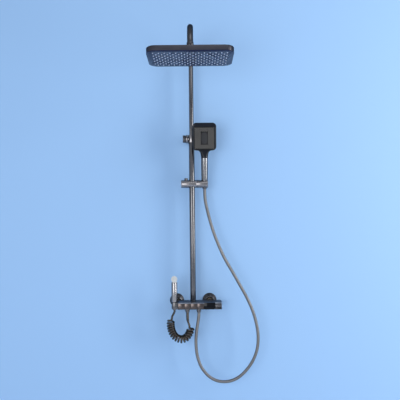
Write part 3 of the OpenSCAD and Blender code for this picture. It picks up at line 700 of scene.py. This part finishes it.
# %% Wound hose finish
hose_metal = finish("wound_hose", (0.205, 0.198, 0.198), (0.27, 0.25, 0.24), 1.0, 0.34, bump=0.01)
tree = hose_metal.node_tree
shader = tree.nodes["Principled BSDF"]
along = tree.nodes.new("ShaderNodeUVMap")
along.uv_map = "along"
split = tree.nodes.new("ShaderNodeSeparateXYZ")
tree.links.new(along.outputs[0], split.inputs[0])
turns = math_node(tree, "MULTIPLY", split.outputs["Y"], 2 * math.pi / RIB)
wave = math_node(tree, "SINE", turns)
seam = tree.nodes.new("ShaderNodeBump")
seam.inputs["Strength"].default_value = 0.2
seam.inputs["Distance"].default_value = 0.0003
tree.links.new(wave, seam.inputs["Height"])
tree.links.new(shader.inputs["Normal"].links[0].from_socket, seam.inputs["Normal"])
tree.links.new(seam.outputs[0], shader.inputs["Normal"])
print("hose finish follows UV map", along.uv_map)


# %% Paint helper
def paint(material, *pieces):
    for piece in pieces:
        piece.data.materials.clear()
        piece.data.materials.append(material)


def paint_nodes(material, *names):
    """A CAD node keeps its mesh; only what its slots hold changes."""
    for name in names:
        for slot in nodes[name].material_slots:
            slot.material = material


# %% [markdown]
# ## Nozzles in place
# The rain head has ten rows that step sideways by half a space. The handset's rows are closer
# and leave room for the long insert in the middle.

# %% Rain nozzles
def lathe_pattern(name, profile, place, sides=12):
    bm = bmesh.new()
    lathe(bm, profile, place, sides)
    piece = piece_from(name, bm, 50)
    scene_items.unlink(piece)
    return piece


rain_tip = lathe_pattern("rain_tip", [
    (0.0, -0.0032), (0.0009, -0.0032), (0.0012, -0.0034), (0.0019, -0.0034), (0.0023, -0.0028),
    (0.0026, -0.0006), (0.0034, 0.0004), (0.0034, 0.0010), (0.0, 0.0010)],
    lambda x, y, h: Vector((x, y, h)))
RAIN_ROWS = 10
RAIN_PITCH = 0.022
rain_holes = []
for j in range(RAIN_ROWS):
    across = 14 if j % 2 == 0 else 13
    for i in range(across):
        rain_holes.append(((i - (across - 1) / 2) * RAIN_PITCH,
                           HEAD_Y + (j - (RAIN_ROWS - 1) / 2) * RAIN_D / 12, plate_low.z))
rain_nozzles = nozzle_sheet("rain_nozzles", rain_holes, rain_tip, 0.85, silicone)
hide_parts("rain_mat")
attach(rain_nozzles, "rain_head")
print("rain nozzles:", len(rain_holes), "in", len(rain_nozzles.data.polygons), "faces")

# %% [markdown]
# ## The handset
# The handset leans forward in its holder. Its parts are shaped upright, with the height along
# the handle and the face towards -Y, and one turn about the holder's axis leans them all.

# %% Handset frame
HANDLE_TOP = 0.118
HEAD_T0, HEAD_T1 = 0.151, 0.272
HEAD_W = 0.105
HEAD_H = HEAD_T1 - HEAD_T0
HEAD_MID = (HEAD_T0 + HEAD_T1) / 2
PLATE_W, PLATE_H = 0.089, 0.100
PLATE_MID = HEAD_T0 + 0.004 + PLATE_H / 2
lean_matrix = Matrix.Translation(HOLD) @ Matrix.Rotation(LEAN, 4, "X")


def leaned(x, y, t):
    """x to the right, y towards the wall, t up the handle."""
    return lean_matrix @ Vector((x, y, t))


print("head", HEAD_W, "x", round(HEAD_H, 3), "m")

# %% [markdown]
# The head's shell and the neck are one moulding: it grows from the round neck into the wide
# rounded head. Sections from a round to a rounded rectangle are joined up the neck.

# %% Handset shell
def section(w, d, r, t, y_mid, corner=8):
    return [(x, y + y_mid, t) for x, y in rounded_outline(w, d, r, corner)]


shell = bmesh.new()
neck_sections = [
    (0.0239, 0.0239, 0.01195, HANDLE_TOP - 0.006, 0.0),
    (0.0239, 0.0239, 0.01195, HANDLE_TOP + 0.0002, 0.0),
    (0.0306, 0.0306, 0.0153, HANDLE_TOP + 0.0002, 0.0),
    (0.0316, 0.0312, 0.0156, HANDLE_TOP + 0.0012, 0.0),
    (0.0325, 0.0310, 0.0152, HANDLE_TOP + 0.0070, 0.0),
    (0.0335, 0.0290, 0.0135, HANDLE_TOP + 0.0120, 0.0),
    (0.0350, 0.0250, 0.0115, HANDLE_TOP + 0.0180, -0.0002),
    (0.0385, 0.0215, 0.0095, HANDLE_TOP + 0.0235, -0.0002),
    (0.0450, 0.0195, 0.0085, HANDLE_TOP + 0.0280, -0.0002),
    (0.0550, 0.0180, 0.0075, HANDLE_TOP + 0.0315, 0.0),
    (0.0690, 0.0160, 0.0065, HANDLE_TOP + 0.0345, 0.0),
    (0.0720, 0.0150, 0.0060, HANDLE_TOP + 0.0400, 0.0),
]
rings = []
for w, d, r, t, y_mid in neck_sections:
    rings.append([shell.verts.new(leaned(*p)) for p in section(w, d, r, t, y_mid)])
for a, b in zip(rings, rings[1:]):
    for k in range(len(a)):
        n = (k + 1) % len(a)
        shell.faces.new((a[k], a[n], b[n], b[k]))
shell.faces.new(rings[0][::-1])
shell.faces.new(rings[-1])
closed_slab(shell, HEAD_W, HEAD_H, 0.017, [
    (0.0040, -0.0050), (0.0028, -0.0080), (0.0008, -0.0082), (0.0, -0.0074), (0.0, 0.0005),
    (0.0006, 0.0040), (0.0026, 0.0072), (0.0060, 0.0090), (0.0120, 0.0098), (0.0300, 0.0100)],
    lambda x, y, h: leaned(x, h, y + HEAD_MID))
handset_shell = piece_from("handset_moulding", shell, 40)
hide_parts("handset_shell")
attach(handset_shell, "handset")
print("handset shell", len(handset_shell.data.polygons), "faces")

# %% [markdown]
# The bezel is a ring: its outer edge is rolled, and its inner edge slopes down to the nozzle
# plate. The slope is wider above the plate than beside it.

# %% Handset bezel
bezel = bmesh.new()
outer = [(0.0006, -0.0084), (0.0, -0.0090), (0.0, -0.0118), (0.0008, -0.0138), (0.0026, -0.0149)]
outer_rings = slab_rings(bezel, HEAD_W, HEAD_H, 0.017, outer,
                         lambda x, y, h: leaned(x, h, y + HEAD_MID))
inner = [(-0.0022, -0.0149), (-0.0004, -0.0140), (0.0, -0.0132), (0.0, -0.0084)]
inner_rings = slab_rings(bezel, PLATE_W, PLATE_H, 0.006, inner,
                         lambda x, y, h: leaned(x, h, y + PLATE_MID))
for a, b in ((outer_rings[-1], inner_rings[0]), (inner_rings[-1], outer_rings[0])):
    for k in range(len(a)):
        n = (k + 1) % len(a)
        bezel.faces.new((a[k], a[n], b[n], b[k]))
handset_bezel = piece_from("handset_bezel", bezel, 35)
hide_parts("handset_ring")
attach(handset_bezel, "handset")

# %% Handset nozzles and insert
hand_tip = lathe_pattern("hand_tip", [
    (0.0, 0.0030), (0.0006, 0.0030), (0.0008, 0.0034), (0.0015, 0.0033), (0.0018, 0.0026),
    (0.0020, 0.0), (0.0, 0.0)],
    lambda x, y, h: Matrix.Rotation(LEAN, 4, "X") @ Vector((x, -h, y)), sides=10)
hand_holes = []
for j in range(-10, 11):
    across = 10 if j % 2 == 0 else 9
    for i in range(across):
        x = (i - (across - 1) / 2) * (PLATE_W - 0.006) / 9.2
        z = j * (PLATE_H - 0.006) / 21.4
        if abs(x) > 0.015 or abs(z) > 0.027:
            hand_holes.append(leaned(x, -0.0108, PLATE_MID + z))
hand_nozzles = nozzle_sheet("handset_nozzles", hand_holes, hand_tip, 1.0, hand_silicone)
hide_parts("handset_mat")
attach(hand_nozzles, "handset")

insert = bmesh.new()
closed_slab(insert, 0.025, 0.050, 0.0124, [
    (0.0010, -0.0090), (0.0, -0.0100), (0.0, -0.0136), (0.0006, -0.0141), (0.0030, -0.0141),
    (0.0034, -0.0134), (0.0042, -0.0134), (0.0046, -0.0139), (0.0070, -0.0138),
    (0.0105, -0.0136)],
    lambda x, y, h: leaned(x, h, y + PLATE_MID))
handset_insert = piece_from("handset_insert_button", insert, 30)
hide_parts("handset_insert")
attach(handset_insert, "handset")
print("handset nozzles:", len(hand_holes))

# %% [markdown]
# ## Putting the finishes on
# Turned parts whose length runs sideways get the grain turned with them. Lighter and darker copies
# of the gunmetal on some parts are painted highlights and painted shade.

# %% Paint
paint(gunmetal, *[finished[n] for n in (
    "union_nuts", "outlet_nuts", "lower_tube", "upper_tube", "slider_button", "hose_nut",
    "gun_nut", "gun_holder")])
paint(arm_painted_shade_metal, *[finished[n] for n in (
    "arm", "arm_collar", "ball_nut", "rosettes", "bracket_cover", "lock_knob")])
paint(gunmetal_painted_highlight, *[finished[n] for n in (
    "slider_body", "slider_cap", "cradle", "bracket_arm")])
paint(valve_metal, *[finished[n] for n in ("valve_body", "valve_base")])
paint(shelf_painted_light_metal, finished["valve_shelf"])
paint(keys_painted_reflection, *[finished[n] for n in ("key_1", "key_2", "key_3", "key_4")])
paint(knob_metal, finished["temp_knob"])
paint(gun_painted_highlight_metal, finished["gun_body"])
paint(handle_painted_highlight_metal, finished["handset_handle"])
paint(rim_black, rain_cover)
paint(under_black, finished["rain_plate"])
paint(gloss_black, handset_shell, handset_bezel)
paint(insert_grey, handset_insert)
paint(plate_grey, finished["handset_plate"])
paint(window_black, finished["display_window"])
paint(pale_gloss, finished["gun_head"], finished["gun_face"], finished["gun_trigger"])
paint(hose_metal, hose_long, hose_bend, hose_tail)
paint(curl_black, curly_hose)
paint_nodes(brass, "s_unions", "diverters", "mix_cartridge", "riser_nipple", "outlet_nipples")
paint_nodes(steel, "key_springs", "bracket_base", "bracket_screws", "lock_stud", "cradle_pin",
            "gun_pin")
paint_nodes(bright, "ball_stem")
paint_nodes(plain_black, "tube_bush", "upper_seal", "swivel_bush", "ball_ring", "slider_liner")
# The lock knob's faces right of a given x get the lighter gunmetal copy: a painted highlight band.
lock = finished["lock_knob"]
lock.data.materials.append(gunmetal_painted_highlight)
LOCK_PAINTED_HIGHLIGHT_X = -0.0225
for face in lock.data.polygons:
    if face.center.x > LOCK_PAINTED_HIGHLIGHT_X:
        face.material_index = 1
print("painted", len(finished), "copies")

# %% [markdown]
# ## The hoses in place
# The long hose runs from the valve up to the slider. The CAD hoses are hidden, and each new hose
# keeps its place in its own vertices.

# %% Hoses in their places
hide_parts("handset_hose")
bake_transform(hose_long)
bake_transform(hose_bend)
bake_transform(hose_tail)
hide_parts("coil_hose", "coil_leads")
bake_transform(curly_hose)

# %% [markdown]
# ## Wall, floor and light
# The wall is one sheet of pale blue paint with a fine roller texture. Wall and floor can be
# seen through from behind, so that the object's back and underside can be looked at. Two soft
# boxes in front give metal its long highlights, and a wide one above fills the shadows.

# %% Wall and floor
def stage_sheet(name, corners, colour, see_through=False):
    bm = bmesh.new()
    bm.faces.new([bm.verts.new(c) for c in corners])
    mesh = bpy.data.meshes.new(name)
    bm.to_mesh(mesh)
    bm.free()
    sheet = bpy.data.objects.new(name, mesh)
    scene_items.link(sheet)
    mat = bpy.data.materials.new(name + "_paint")
    mat.use_nodes = True
    tree = mat.node_tree
    shader = tree.nodes["Principled BSDF"]
    shader.inputs["Base Color"].default_value = (*colour, 1)
    shader.inputs["Roughness"].default_value = 0.75
    noise = tree.nodes.new("ShaderNodeTexNoise")
    noise.inputs["Scale"].default_value = 350.0
    where = tree.nodes.new("ShaderNodeTexCoord")
    tree.links.new(where.outputs["Object"], noise.inputs["Vector"])
    relief = tree.nodes.new("ShaderNodeBump")
    relief.inputs["Strength"].default_value = 0.05
    tree.links.new(noise.outputs["Fac"], relief.inputs["Height"])
    tree.links.new(relief.outputs[0], shader.inputs["Normal"])
    if see_through:
        clear = tree.nodes.new("ShaderNodeBsdfTransparent")
        facing = tree.nodes.new("ShaderNodeNewGeometry")
        mix = tree.nodes.new("ShaderNodeMixShader")
        tree.links.new(facing.outputs["Backfacing"], mix.inputs[0])
        tree.links.new(shader.outputs[0], mix.inputs[1])
        tree.links.new(clear.outputs[0], mix.inputs[2])
        tree.links.new(mix.outputs[0], tree.nodes["Material Output"].inputs["Surface"])
    mesh.materials.append(mat)
    return sheet


WALL_Y = 0.0002
FLOOR_Z = -1.0
wall_corners = [(-1.6, WALL_Y, FLOOR_Z), (1.6, WALL_Y, FLOOR_Z), (1.6, WALL_Y, 2.2),
                (-1.6, WALL_Y, 2.2)]
floor_corners = [(-3, -3.5, FLOOR_Z), (3, -3.5, FLOOR_Z), (3, 2.5, FLOOR_Z), (-3, 2.5, FLOOR_Z)]
wall = stage_sheet("wall", wall_corners, (0.325, 0.53, 0.82), see_through=True)
floor = stage_sheet("floor", floor_corners, (0.80, 0.83, 0.87), see_through=True)
print("stage: wall and floor")


# %% Lights
def soft_box(name, place, aim, size, power, colour=(1, 1, 1)):
    data = bpy.data.lights.new(name, "AREA")
    data.shape = "RECTANGLE"
    data.size, data.size_y = size
    data.energy = power
    data.color = colour
    lamp = bpy.data.objects.new(name, data)
    scene_items.link(lamp)
    lamp.location = place
    lamp.rotation_euler = (Vector(aim) - Vector(place)).to_track_quat("-Z", "Y").to_euler()
    return lamp


soft_box("key_box", (2.5, -1.25, 0.7), (0, -0.05, 0.35), (0.8, 2.2), 42, (1.0, 0.99, 0.97))
soft_box("fill_box", (-1.2, -3.0, 0.3), (0, 0, 0.25), (1.6, 1.6), 30, (0.97, 0.985, 1.0))
soft_box("top_box", (0.4, -1.6, 2.3), (0, -0.1, 0.2), (1.6, 0.8), 6)
world = bpy.data.worlds.new("studio_air")
bpy.context.scene.world = world
world.use_nodes = True
world.node_tree.nodes["Background"].inputs["Color"].default_value = (0.80, 0.88, 1.0, 1)
world.node_tree.nodes["Background"].inputs["Strength"].default_value = 0.55
print("lights: three soft boxes")
